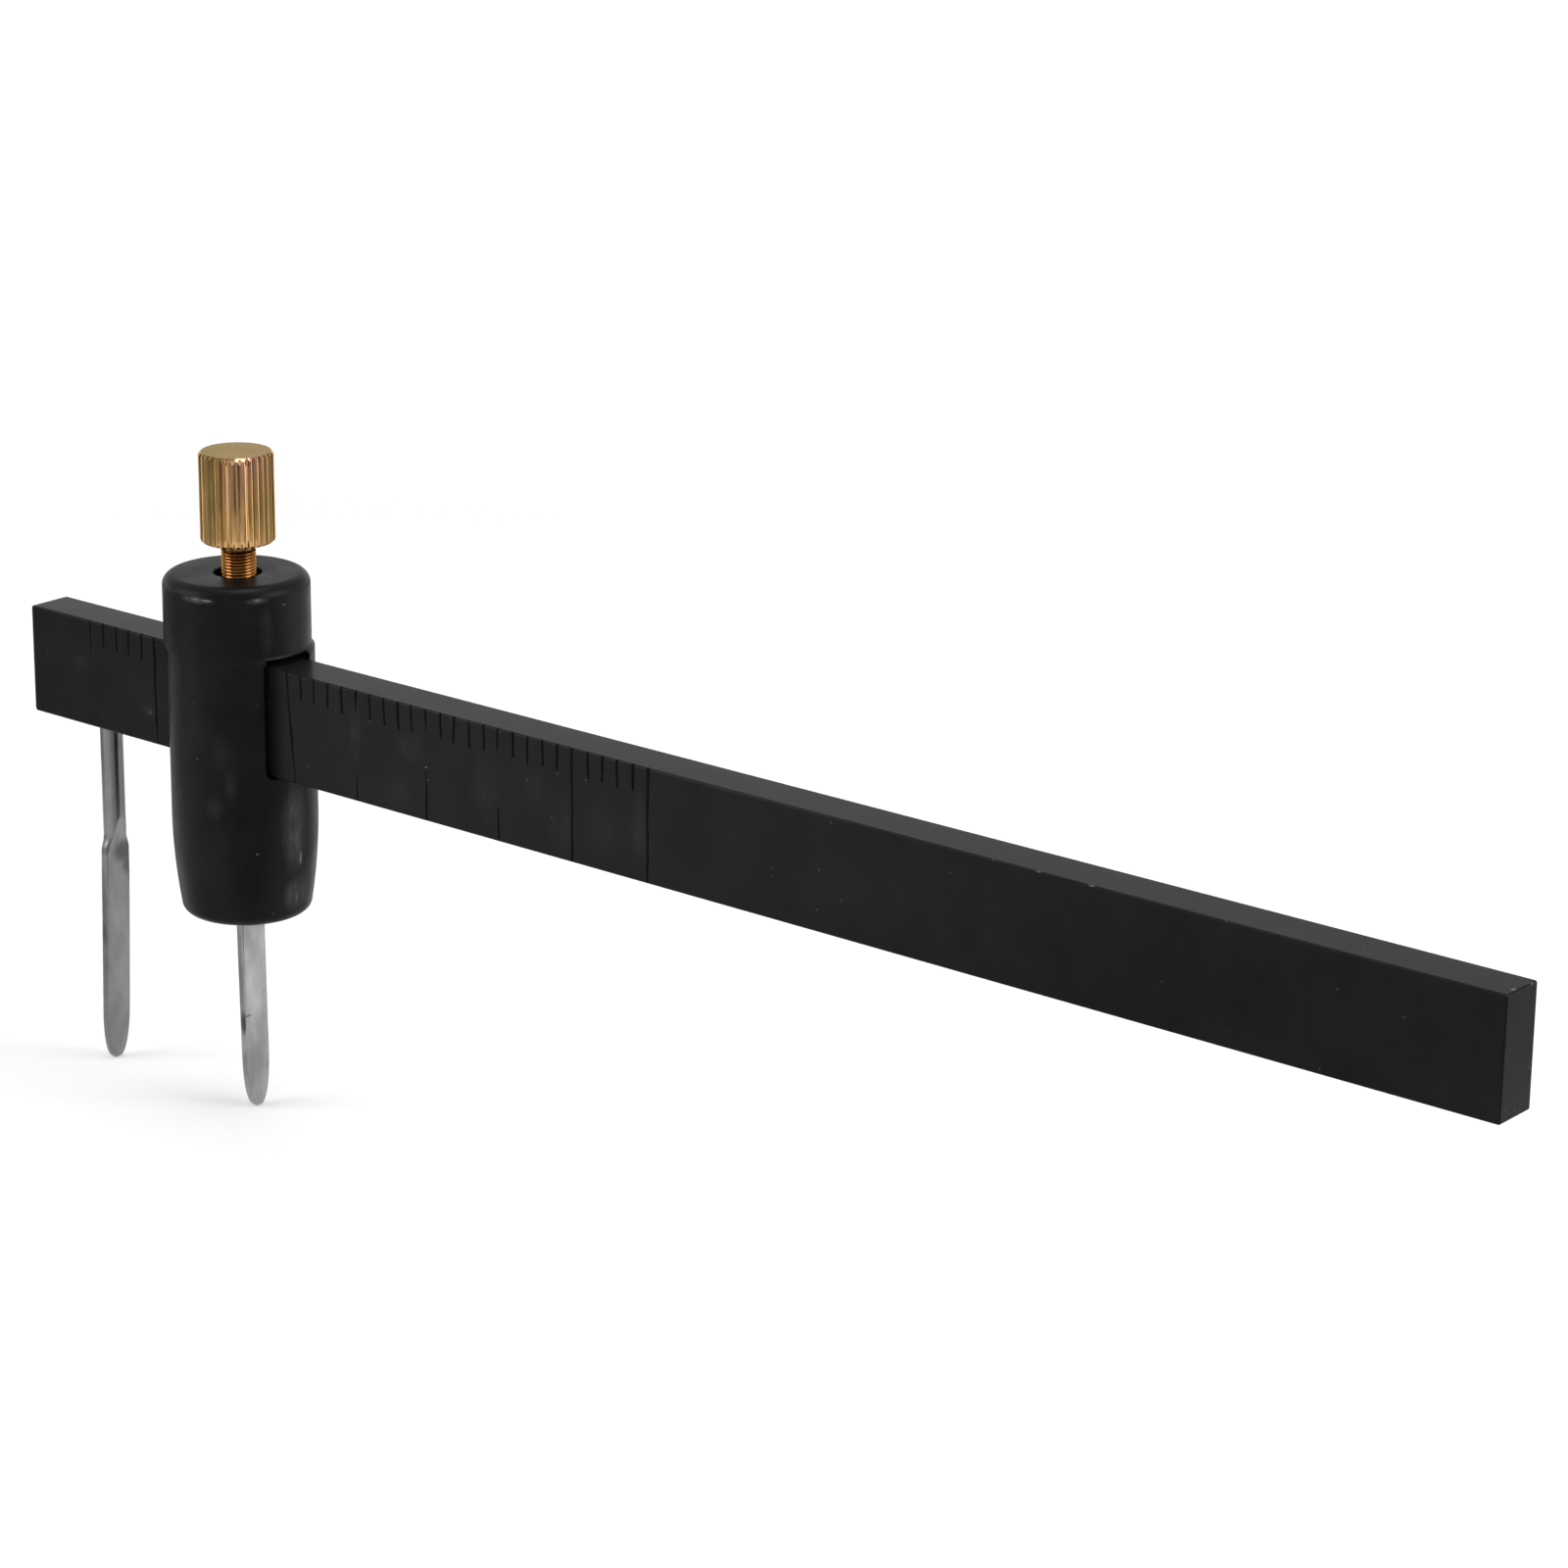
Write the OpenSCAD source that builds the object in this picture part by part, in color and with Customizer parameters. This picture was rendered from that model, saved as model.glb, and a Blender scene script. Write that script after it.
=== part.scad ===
// Beam compass for clay: a ruled bar with a fixed spade point near one end, and a
// post that slides along the bar, carries a second spade point and is held by a
// knurled thumb screw.
//
// Frame: millimetres, +Z up. The origin is the middle of the beam's end face beside
// the fixed point. +X runs along the beam to its free end, and the ruled face looks
// towards -Y. The model stands clamped, with its screw turned down on the beam.

/* [Beam] */
// Length of the beam
beam_len = 187; // [150:1:300]
// Height of the beam
beam_h = 12; // [10:0.5:18]
// Thickness of the beam
beam_t = 5.1; // [4:0.1:7]
// Bevel along every edge of the beam
beam_bevel = 0.3; // [0.1:0.05:0.6]

/* [Scale] */
// Distance from the beam's end to the zero line and the fixed point below it
zero_inset = 9.7; // [6:0.1:15]
// Length that the scale covers
scale_len = 80; // [40:10:120]
// Distance between two long lines
long_step = 10; // [5:5:20]
// Divisions between two long lines
division_count = 5; // [2:1:10]
// Length of a short tick, down from the beam's top edge
tick_len = 2.8; // [1.5:0.1:5]
// Width of an engraved line at the face
groove_w = 0.36; // [0.2:0.02:0.6]
// Depth of an engraved line
groove_depth = 0.28; // [0.1:0.02:0.5]

/* [Spade points] */
// Diameter of a point's round shank
shank_d = 2.5; // [1.8:0.1:3]
// Length of the fixed point's shank inside the beam
shank_in_beam = 8; // [5:0.5:9]
// Length of the fixed point's shank below the beam
shank_below_beam = 14.6; // [9:0.2:15]
// Length of the slider point's shank, inside the post
shank_in_post = 9; // [7:0.5:10]
// Length of the stretch where the shank runs out into the flat blade
scarf_len = 4; // [2:0.1:5]
// Length of the shoulder where the shank widens to the blade
shoulder_len = 1.7; // [0.5:0.1:2]
// Length of a blade
blade_len = 24.8; // [20:0.2:40]
// Width of a blade
blade_w = 3.45; // [2.6:0.05:4]
// Thickness of a blade at its shoulder
blade_t = 1.1; // [0.7:0.05:1.4]
// Thickness of a blade at its tip
tip_t = 0.9; // [0.3:0.05:1]
// Length of the rounded tip of a blade
tip_len = 7; // [4:0.5:12]

/* [Slider post] */
// Distance between the two points as the tool is set
setting = 20.7; // [10:0.1:150]
// Diameter of the post
post_d = 15.6; // [14:0.1:20]
// Height of the post above the beam
post_above = 8.7; // [8:0.1:14]
// Height of the post below the beam
post_below = 16.7; // [15:0.1:24]
// Radius of the post's rounded top edge
top_round = 1.3; // [0.5:0.1:2]
// Diameter of the post's foot before its edge rounds over
foot_d = 14; // [12:0.1:15]
// Radius of the post's rounded bottom edge
foot_round = 1.2; // [0.5:0.1:2.5]
// Length of the stretch where the post narrows to its foot
foot_taper_len = 10; // [5:0.2:12]

/* [Slot] */
// Gap between the beam and each side of the slot
slot_side_gap = 0.6; // [0.3:0.05:1]
// Gap between the beam and the slot's ceiling
slot_top_gap = 0.9; // [0.5:0.1:1.5]
// Gap between the beam and the slot's floor
slot_floor_gap = 0.1; // [0.05:0.05:0.2]
// Radius of the slot's corners
slot_corner_r = 0.8; // [0.2:0.1:0.9]

/* [Threaded insert] */
// Diameter of the insert and of its seat in the post
insert_d = 5.1; // [4.8:0.1:7]
// Length of the insert
insert_len = 5; // [4:0.1:5.5]
// Depth of the insert's top below the top of the post
insert_sink = 1.2; // [0.5:0.1:1.5]
// Width of the ring groove around the insert
insert_groove_w = 1; // [0.5:0.1:1.5]
// Depth of the ring groove around the insert
insert_groove_depth = 0.25; // [0.1:0.05:0.3]
// Chamfer at both mouths of the insert's bore
insert_chamfer = 0.25; // [0.1:0.05:0.4]
// Diameter of the hole between the insert's seat and the slot
screw_way_d = 4.2; // [4:0.1:4.6]

/* [Thumb screw] */
// Diameter of the knob over its knurl
knob_d = 7.9; // [7:0.1:14]
// Height of the knob
knob_h = 9.7; // [8.5:0.1:14]
// Ridges of the knurl
ridge_count = 32; // [24:1:40]
// Depth of the knurl
ridge_depth = 0.34; // [0.2:0.02:0.5]
// Bevel around the knob's top
knob_top_bevel = 0.3; // [0.1:0.05:0.8]
// Bevel around the knob's foot
knob_foot_bevel = 0.25; // [0.1:0.05:1]
// Gap between the post and the knob with the screw turned down
knob_gap = 3.4; // [2:0.1:6]
// Diameter over the stud's thread
thread_d = 3.7; // [3.3:0.1:3.8]
// Pitch of the thread
pitch = 0.35; // [0.3:0.05:0.5]
// Gap between the thread's crests and the insert's bore, all round
thread_play = 0.05; // [0.03:0.01:0.1]
// Shortest plain neck between the thread and the knob
neck_min = 0.7; // [0.4:0.1:1.5]
// Length of the stud inside the knob
stud_in_knob = 6.5; // [4:0.1:7.5]

/* [Clamp pad] */
// Diameter of the clamp pad
pad_d = 2.9; // [2.4:0.1:3.1]
// Height of the clamp pad
pad_h = 3; // [2.5:0.1:3.5]
// Bevel around the pad's lower edge
pad_bevel = 0.25; // [0.1:0.05:0.4]
// Diameter of the stud's pivot, on which the pad swivels
pivot_d = 1.5; // [1.2:0.1:1.8]
// Length of the pivot
pivot_len = 1.4; // [1:0.1:1.8]
// Gap between the pivot and its bore, all round
pivot_play = 0.05; // [0.03:0.01:0.1]
// Gap between the stud and the pad, and between the pivot's end and its bore's end
pivot_end_gap = 0.1; // [0.05:0.05:0.2]

/* [Hidden] */

// Fineness of round surfaces, and steps in a rounded edge, in a tip and in the taper
$fn = 96;
round_steps = 6;
tip_steps = 10;
taper_steps = 6;
// Overrun of every cut
over = 1;

black_plastic = "#242424";
post_plastic = "#1e1e1e";
steel = "#8c8c8c";
gold_metal = "#a98f63";
copper_metal = "#b4713a";
brass_metal = "#b08d4f";

beam_top = beam_h / 2;
beam_foot = -beam_h / 2;
front_y = -beam_t / 2;
fixed_x = zero_inset;
slider_x = zero_inset + setting;
minor_step = long_step / division_count;
line_count = floor(scale_len / long_step) * division_count;

shoulder_z = beam_foot - shank_below_beam;

post_top = beam_top + post_above;
post_foot = beam_foot - post_below;
slot_w = beam_t + 2 * slot_side_gap;
slot_top = beam_top + slot_top_gap;
slot_foot = beam_foot - slot_floor_gap;

insert_top = post_top - insert_sink;
insert_foot = insert_top - insert_len;
insert_bore_d = thread_d + 2 * thread_play;

pad_top = beam_top + pad_h;
stud_foot = pad_top + pivot_end_gap;
knob_foot = post_top + knob_gap;
thread_turns = floor((knob_foot - neck_min - stud_foot) / pitch);
// Depth of a sharp 60 degree thread that keeps its crest and root flats
thread_depth_share = 0.6134;
root_r = thread_d / 2 - thread_depth_share * pitch;
// Where in a turn the crest lies
crest_share = 0.5;
// Part of a knurl's step that stays at full diameter, and where its valley lies
land_share = 0.36;
valley_share = 0.68;

// Points on an arc around a centre, from one angle to another
function arc(centre, r, from, to, steps) =
  [for (i = [0 : steps])
    let (a = from + (to - from) * i / steps)
      centre + r * [cos(a), sin(a)]];

// Half width of a blade at a height above its tip: half an ellipse, then straight
function blade_half(above) =
  blade_w / 2 * sqrt(1 - pow(1 - min(above, tip_len) / tip_len, 2));

// A bar with every edge bevelled: what three bevelled outlines have in common
module bevelled_bar() {
  intersection() {
    translate([0, 0, beam_foot])
      linear_extrude(height = beam_h)
        bevelled_rectangle([0, front_y], [beam_len, -front_y]);
    translate([0, -front_y, 0])
      rotate([90, 0, 0])
        linear_extrude(height = beam_t)
          bevelled_rectangle([0, beam_foot], [beam_len, beam_top]);
    rotate([90, 0, 90])
      linear_extrude(height = beam_len)
        bevelled_rectangle([front_y, beam_foot], [-front_y, beam_top]);
  }
}

// A rectangle between two corners with its own corners cut off
module bevelled_rectangle(low, high) {
  b = beam_bevel;
  polygon([
    [low[0] + b, low[1]], [high[0] - b, low[1]],
    [high[0], low[1] + b], [high[0], high[1] - b],
    [high[0] - b, high[1]], [low[0] + b, high[1]],
    [low[0], high[1] - b], [low[0], low[1] + b]
  ]);
}

// One engraved line: a V groove in the front face, down from the top edge
module engraved_line(x, len) {
  translate([x, front_y, beam_top - len])
    linear_extrude(height = len + over)
      polygon([
        [-groove_w / 2, 0], [0, groove_depth], [groove_w / 2, 0],
        [groove_w / 2, -groove_depth], [-groove_w / 2, -groove_depth]
      ]);
}

module beam() {
  color(black_plastic)
    difference() {
      bevelled_bar();
      for (i = [0 : line_count])
        engraved_line(fixed_x + i * minor_step,
                      i % division_count == 0 ? beam_h + over : tick_len);
      translate([fixed_x, 0, beam_foot - over])
        cylinder(d = shank_d, h = shank_in_beam + over);
    }
}

// A spade point that hangs down from its shoulder at z = 0, with its blade's flat
// faces square to X: round shank, scarf where the shank is pressed flat, and blade
module spade_point(shank_len) {
  translate([0, 0, scarf_len])
    cylinder(d = shank_d, h = shank_len - scarf_len);
  intersection() {
    union() {
      cylinder(d = shank_d, h = scarf_len);
      cylinder(d1 = blade_w, d2 = shank_d, h = shoulder_len);
    }
    wedge(blade_t, 0, shank_d, scarf_len);
  }
  intersection() {
    blade_outline();
    wedge(tip_t, -blade_len, blade_t, 0);
  }
}

// A block that is wide across Y and tapers in thickness between two heights
module wedge(low_t, low_z, high_t, high_z) {
  translate([0, blade_w, 0])
    rotate([90, 0, 0])
      linear_extrude(height = 2 * blade_w)
        polygon([
          [-low_t / 2, low_z], [low_t / 2, low_z],
          [high_t / 2, high_z], [-high_t / 2, high_z]
        ]);
}

// The blade's outline, square to X, with its long rounded tip
module blade_outline() {
  rise = [for (i = [1 : tip_steps]) tip_len * (1 - cos(90 * i / tip_steps))];
  rotate([90, 0, 90])
    linear_extrude(height = 2 * blade_t, center = true)
      polygon(concat(
        [[0, -blade_len]],
        [for (h = rise) [blade_half(h), h - blade_len]],
        [[blade_w / 2, 0], [-blade_w / 2, 0]],
        [for (i = [tip_steps - 1 : -1 : 0]) [-blade_half(rise[i]), rise[i] - blade_len]]
      ));
}

module fixed_point() {
  color(steel)
    translate([fixed_x, 0, shoulder_z])
      spade_point(shank_below_beam + shank_in_beam);
}

module slider_point() {
  color(steel)
    translate([slider_x, 0, shoulder_z])
      spade_point(shank_in_post);
}

// The post as one turned form: foot with a rounded edge, taper, straight wall, rounded top
module post_form() {
  taper_top = post_foot + foot_round + foot_taper_len;
  rotate_extrude()
    polygon(concat(
      [[0, post_foot]],
      arc([foot_d / 2 - foot_round, post_foot + foot_round], foot_round, -90, 0, round_steps),
      [for (i = [1 : taper_steps])
        let (left = 1 - i / taper_steps)
          [post_d / 2 - (post_d - foot_d) / 2 * left * left,
           taper_top - foot_taper_len * left]],
      arc([post_d / 2 - top_round, post_top - top_round], top_round, 0, 90, round_steps),
      [[0, post_top]]
    ));
}

// The slot along X, from one side of the post to the other, with rounded corners
module slot() {
  w = slot_w / 2;
  rotate([90, 0, 90])
    linear_extrude(height = post_d + 2 * over, center = true)
      union() {
        translate([-w, slot_foot + slot_corner_r])
          square([slot_w, slot_top - slot_foot - 2 * slot_corner_r]);
        translate([slot_corner_r - w, slot_foot])
          square([slot_w - 2 * slot_corner_r, slot_top - slot_foot]);
        for (y = [slot_corner_r - w, w - slot_corner_r])
          for (z = [slot_foot + slot_corner_r, slot_top - slot_corner_r])
            translate([y, z])
              circle(r = slot_corner_r);
      }
}

module slider_body() {
  color(post_plastic)
    difference() {
      translate([slider_x, 0, 0])
        difference() {
          post_form();
          slot();
          translate([0, 0, insert_foot])
            cylinder(d = insert_d, h = insert_len + insert_sink + over);
          translate([0, 0, slot_top - over])
            cylinder(d = screw_way_d, h = insert_foot - slot_top + 2 * over);
        }
      slider_point();
    }
}

// A bush with a ring groove around its middle and a chamfer at both ends of its bore
module threaded_insert() {
  middle = (insert_top + insert_foot) / 2;
  color(brass_metal)
    translate([slider_x, 0, 0])
      difference() {
        translate([0, 0, insert_foot])
          cylinder(d = insert_d, h = insert_len);
        translate([0, 0, middle - insert_groove_w / 2])
          difference() {
            cylinder(d = insert_d + 2 * over, h = insert_groove_w);
            cylinder(d = insert_d - 2 * insert_groove_depth, h = insert_groove_w);
          }
        translate([0, 0, insert_foot - over])
          cylinder(d = insert_bore_d, h = insert_len + 2 * over);
        translate([0, 0, insert_foot])
          cylinder(d1 = insert_bore_d + 2 * insert_chamfer, d2 = insert_bore_d, h = insert_chamfer);
        translate([0, 0, insert_top - insert_chamfer])
          cylinder(d1 = insert_bore_d, d2 = insert_bore_d + 2 * insert_chamfer, h = insert_chamfer);
      }
}

// The knurl's outline: a land at full diameter, then a V valley, once for each ridge
module knurl_outline() {
  step = 360 / ridge_count;
  r = knob_d / 2;
  polygon([
    for (i = [0 : ridge_count - 1])
      for (p = [[0, r], [land_share, r], [valley_share, r - ridge_depth]])
        p[1] * [cos((i + p[0]) * step), sin((i + p[0]) * step)]
  ]);
}

module thumb_screw_knob() {
  r = knob_d / 2;
  color(gold_metal)
    translate([slider_x, 0, knob_foot])
      difference() {
        intersection() {
          linear_extrude(height = knob_h)
            knurl_outline();
          rotate_extrude()
            polygon([
              [0, 0], [r - knob_foot_bevel, 0], [r, knob_foot_bevel],
              [r, knob_h - knob_top_bevel], [r - knob_top_bevel, knob_h], [0, knob_h]
            ]);
        }
        translate([0, 0, -over])
          cylinder(d = 2 * root_r, h = stud_in_knob + over);
      }
}

// A stud turned in one piece: pivot, ring-shaped thread crests, neck and plain upper end
module thumb_screw_stud() {
  crest_r = thread_d / 2;
  color(copper_metal)
    translate([slider_x, 0, 0])
      rotate_extrude()
        polygon(concat(
          [[0, stud_foot - pivot_len], [pivot_d / 2, stud_foot - pivot_len], [pivot_d / 2, stud_foot],
           [root_r, stud_foot]],
          [for (i = [0 : thread_turns - 1])
            for (p = [[crest_r, crest_share], [root_r, 1]])
              [p[0], stud_foot + (i + p[1]) * pitch]],
          [[root_r, knob_foot + stud_in_knob], [0, knob_foot + stud_in_knob]]
        ));
}

// A plug with a blind bore for the stud's pivot
module clamp_pad() {
  r = pad_d / 2;
  bore_foot = stud_foot - pivot_len - pivot_end_gap;
  color(black_plastic)
    translate([slider_x, 0, 0])
      difference() {
        rotate_extrude()
          polygon([
            [0, beam_top], [r - pad_bevel, beam_top], [r, beam_top + pad_bevel],
            [r, pad_top], [0, pad_top]
          ]);
        translate([0, 0, bore_foot])
          cylinder(d = pivot_d + 2 * pivot_play, h = pad_top - bore_foot + over);
      }
}

beam();
fixed_point();
slider_body();
slider_point();
threaded_insert();
thumb_screw_knob();
thumb_screw_stud();
clamp_pad();
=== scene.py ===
import math
import random

import bmesh
import bpy
from mathutils import Matrix, Vector


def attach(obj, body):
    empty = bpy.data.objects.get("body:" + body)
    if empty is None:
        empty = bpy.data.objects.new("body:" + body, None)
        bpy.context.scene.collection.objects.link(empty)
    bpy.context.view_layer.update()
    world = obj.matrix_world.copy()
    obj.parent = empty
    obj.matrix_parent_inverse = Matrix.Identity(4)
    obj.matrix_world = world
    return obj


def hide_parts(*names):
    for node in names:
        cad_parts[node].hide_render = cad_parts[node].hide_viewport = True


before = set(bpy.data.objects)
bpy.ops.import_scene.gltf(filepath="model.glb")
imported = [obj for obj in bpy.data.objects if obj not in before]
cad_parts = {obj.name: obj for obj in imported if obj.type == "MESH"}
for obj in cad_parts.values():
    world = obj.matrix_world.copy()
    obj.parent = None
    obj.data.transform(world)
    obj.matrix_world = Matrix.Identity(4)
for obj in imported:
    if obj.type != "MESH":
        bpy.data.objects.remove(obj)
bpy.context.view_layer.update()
mm = 0.001
# How far a cutter reaches past the face that it goes through, and how near points count as one
past = 1
mergeWithin = 0.002 * mm
chance = random.Random(11)
print("frame loaded:", ", ".join(sorted(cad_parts)))


# Small tools for modelling

def point(x, y, z):
    return Vector((x, y, z)) * mm


def active():
    return bpy.context.view_layer.objects.active


def selectOnly(piece):
    bpy.ops.object.select_all(action="DESELECT")
    piece.select_set(True)
    bpy.context.view_layer.objects.active = piece


def editStart(piece, kind="VERT"):
    selectOnly(piece)
    bpy.ops.object.mode_set(mode="EDIT")
    bpy.ops.mesh.select_mode(type=kind)
    bpy.ops.mesh.select_all(action="DESELECT")


def editEnd():
    bpy.ops.object.mode_set(mode="OBJECT")


def pick(test, part="verts"):
    # Selects the vertices, edges or faces that pass the test, and nothing else
    grid = bmesh.from_edit_mesh(active().data)
    bpy.ops.mesh.select_all(action="DESELECT")
    for item in getattr(grid, part):
        item.select_set(bool(test(item)))
    grid.select_flush_mode()
    bmesh.update_edit_mesh(active().data)


def stretch(x, y, z, centre):
    bpy.ops.transform.resize(value=(x, y, z), center_override=centre)


def shift(x, y, z):
    bpy.ops.transform.translate(value=point(x, y, z))


def extrudeUp(rise):
    bpy.ops.mesh.extrude_region_move(TRANSFORM_OT_translate={"value": point(0, 0, rise)})


def settle(piece, name):
    # Puts a primitive's place and size into its mesh
    piece.name = name
    piece.data.name = name
    selectOnly(piece)
    bpy.ops.object.transform_apply(location=True, rotation=True, scale=True)
    return piece


def addBlock(name, low, high):
    bpy.ops.object.select_all(action="DESELECT")
    middle = [(a + b) / 2 for a, b in zip(low, high)]
    size = [(b - a) * mm for a, b in zip(low, high)]
    bpy.ops.mesh.primitive_cube_add(size=1, location=point(*middle), scale=size)
    return settle(active(), name)


def addRound(name, x, y, zLow, zHigh, diameter, sides):
    bpy.ops.object.select_all(action="DESELECT")
    bpy.ops.mesh.primitive_cylinder_add(
        vertices=sides, radius=diameter / 2 * mm, depth=(zHigh - zLow) * mm,
        location=point(x, y, (zLow + zHigh) / 2))
    return settle(active(), name)


def addTurned(name, x, outline, sides):
    # A form turned about the vertical line at x: its outline is drawn point by point, then spun
    bpy.ops.object.select_all(action="DESELECT")
    bpy.ops.mesh.primitive_plane_add(size=mm, location=(0, 0, 0))
    piece = settle(active(), name)
    editStart(piece)
    bpy.ops.mesh.select_all(action="SELECT")
    bpy.ops.mesh.merge(type="CENTER")
    shift(x + outline[0][0], 0, outline[0][1])
    for before, after in zip(outline, outline[1:]):
        bpy.ops.mesh.extrude_region_move(TRANSFORM_OT_translate={
            "value": point(after[0] - before[0], 0, after[1] - before[1])})
    bpy.ops.mesh.select_all(action="SELECT")
    bpy.ops.mesh.spin(steps=sides, angle=2 * math.pi, center=point(x, 0, 0), axis=(0, 0, 1))
    bpy.ops.mesh.select_all(action="SELECT")
    bpy.ops.mesh.remove_doubles(threshold=mergeWithin)
    bpy.ops.mesh.normals_make_consistent(inside=False)
    editEnd()
    return piece


def useModifier(piece, kind, **settings):
    selectOnly(piece)
    made = piece.modifiers.new(kind.title(), kind)
    for name, value in settings.items():
        setattr(made, name, value)
    bpy.ops.object.modifier_apply(modifier=made.name)


def combine(piece, other, how):
    # Cuts, joins or trims one mesh by another, which is then used up
    useModifier(piece, "BOOLEAN", object=other, operation=how, solver="EXACT")
    bpy.data.objects.remove(other)


def roundEdges(piece, width, steps, angle):
    useModifier(piece, "BEVEL", width=width * mm, segments=steps, limit_method="ANGLE",
                angle_limit=math.radians(angle), use_clamp_overlap=False)


def smooth(piece, angle):
    # Soft shading up to this angle, with the large faces kept flat
    selectOnly(piece)
    bpy.ops.object.shade_smooth_by_angle(angle=math.radians(angle))
    useModifier(piece, "WEIGHTED_NORMAL", keep_sharp=True, weight=90)


def arcPoints(x, z, radius, fromAngle, toAngle, steps):
    angles = [math.radians(fromAngle + (toAngle - fromAngle) * i / steps) for i in range(steps + 1)]
    return [(x + radius * math.cos(a), z + radius * math.sin(a)) for a in angles]


def place(piece, body, node, material):
    piece.data.materials.clear()
    piece.data.materials.append(material)
    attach(piece, body)
    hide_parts(node)
    print(piece.name, "has", len(piece.data.polygons), "faces")


# Small tools for materials

def colour(hexValue):
    parts = [int(hexValue[i:i + 2], 16) / 255 for i in (1, 3, 5)]
    return [p / 12.92 if p <= 0.04045 else ((p + 0.055) / 1.055) ** 2.4 for p in parts] + [1]


def addNode(tree, kind, settings=(), out=0, **inputs):
    # Adds a node with its settings, sets or links its inputs, named or numbered as in_0, and
    # gives back one of its outputs
    node = tree.nodes.new("ShaderNode" + kind)
    for name, value in dict(settings).items():
        if name != "stops":
            setattr(node, name, value)
            continue
        while len(node.color_ramp.elements) < len(value):
            node.color_ramp.elements.new(1)
        for element, (at, shade) in zip(node.color_ramp.elements, value):
            element.position = at
            element.color = colour(shade) if isinstance(shade, str) else (shade, shade, shade, 1)
    for name, value in inputs.items():
        socket = node.inputs[int(name[3:]) if name.startswith("in_") else name.replace("_", " ")]
        if isinstance(value, bpy.types.NodeSocket):
            tree.links.new(value, socket)
        else:
            socket.default_value = value
    return node.outputs[out] if node.outputs else node


def startMaterial(name):
    material = bpy.data.materials.new(name)
    material.use_nodes = True
    tree = material.node_tree
    return material, tree, tree.nodes["Principled BSDF"], addNode(tree, "TexCoord", out="Object")


def turnTo(tree, base, amount, shade):
    # Turns a colour towards a shade, by an amount from 0 to 1
    return addNode(tree, "Mix", {"data_type": "RGBA"}, 2, in_0=amount, in_6=base, in_7=colour(shade))


def nearPlaces(tree, where, places, inner):
    # Each place is a centre, half sizes and a strength, full within the share inner of its size
    # and gone at its edge. Where places overlap the stronger one counts.
    most = 0.0
    for centre, size, strength in places:
        away = addNode(tree, "VectorMath", {"operation": "SUBTRACT"}, in_0=where, in_1=point(*centre))
        away = addNode(tree, "VectorMath", {"operation": "DIVIDE"}, in_0=away, in_1=point(*size))
        away = addNode(tree, "VectorMath", {"operation": "LENGTH"}, "Value", in_0=away)
        near = addNode(tree, "MapRange", {"interpolation_type": "SMOOTHSTEP"}, Value=away, From_Min=inner,
                       From_Max=1.0, To_Min=strength, To_Max=0.0)
        most = addNode(tree, "Math", {"operation": "MAXIMUM"}, in_0=near, in_1=most)
    return most


def inBand(tree, value, limits):
    # 1 between the inner two of four limits, given in millimetres, and 0 outside the outer two
    most = 1.0
    for low, high, goal in ((limits[0], limits[1], 1.0), (limits[2], limits[3], 0.0)):
        part = addNode(tree, "MapRange", {"interpolation_type": "SMOOTHSTEP"}, Value=value,
                       From_Min=low * mm, From_Max=high * mm, To_Min=1 - goal, To_Max=goal)
        most = addNode(tree, "Math", {"operation": "MULTIPLY"}, in_0=part, in_1=most)
    return most


# Camera, at the photograph's own angle
shot = {"place": (376.96, -332.07, 144.54), "yaw": 39.328, "down": 17.769, "roll": 0.594,
        "lens": 107.569, "sensor": 36}

lensData = bpy.data.cameras.new("shotCamera")
lensData.lens = shot["lens"]
lensData.sensor_width = shot["sensor"]
lensData.clip_start = 0.01
lensData.clip_end = 20
shotCamera = bpy.data.objects.new("shotCamera", lensData)
bpy.context.scene.collection.objects.link(shotCamera)
shotCamera.matrix_world = (
    Matrix.Translation(point(*shot["place"]))
    @ Matrix.Rotation(math.radians(shot["yaw"]), 4, "Z")
    @ Matrix.Rotation(math.radians(90 - shot["down"]), 4, "X")
    @ Matrix.Rotation(math.radians(shot["roll"]), 4, "Z"))
bpy.context.scene.camera = shotCamera
bpy.context.scene.view_settings.view_transform = "Standard"
print("camera placed")


# Floor, world and lamps: a white table in a light tent. Camera rays see plain white. Gloss alone sees
# painted
# reflections: the air darker on the camera's side and above, and the table darker on the camera's side
# within reach of the object. From and To are where a change begins and ends: distances for the table's
# glow, sines of the height for the roof, and cosines of the angle to a side for the rest.
studio = {"floor": -45.4, "floorWide": 6000, "floorShade": "#E0E0E0", "tentGlow": 0.5,
          "nearGlow": 0.31, "farGlow": 0.8, "glowFrom": 250, "glowTo": 900,
          "roofGloss": 0.62, "roofFrom": 0.08, "roofTo": 0.3,
          "airSide": (0.174, -0.985, 0), "airGloss": 0.5, "airFrom": -0.2, "airTo": 0.7,
          "middle": (16, 0, 0), "tableSide": (0.839, -0.545, 0), "tableGloss": 0.3,
          "tableFrom": 0.68, "tableTo": 0.84, "reach": (60, 74, 140, 186)}
# Painted reflections: brighter and darker patches on the table that only gloss shows: centre, half sizes
# and strength
glossBrightPatches = (((166, 150, -45.4), (70, 62, 99), 1.0),)
glossDarkPatches = (((74, 86, -45.4), (46, 38, 99), 0.85), ((103, 44, -45.4), (26, 24, 99), 0.7),
           ((-165, -60, -45.4), (120, 120, 99), 0.75), ((-5, -34, -45.4), (42, 28, 99), 0.4),
           ((197, -160, -45.4), (34, 34, 99), 0.75))
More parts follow.
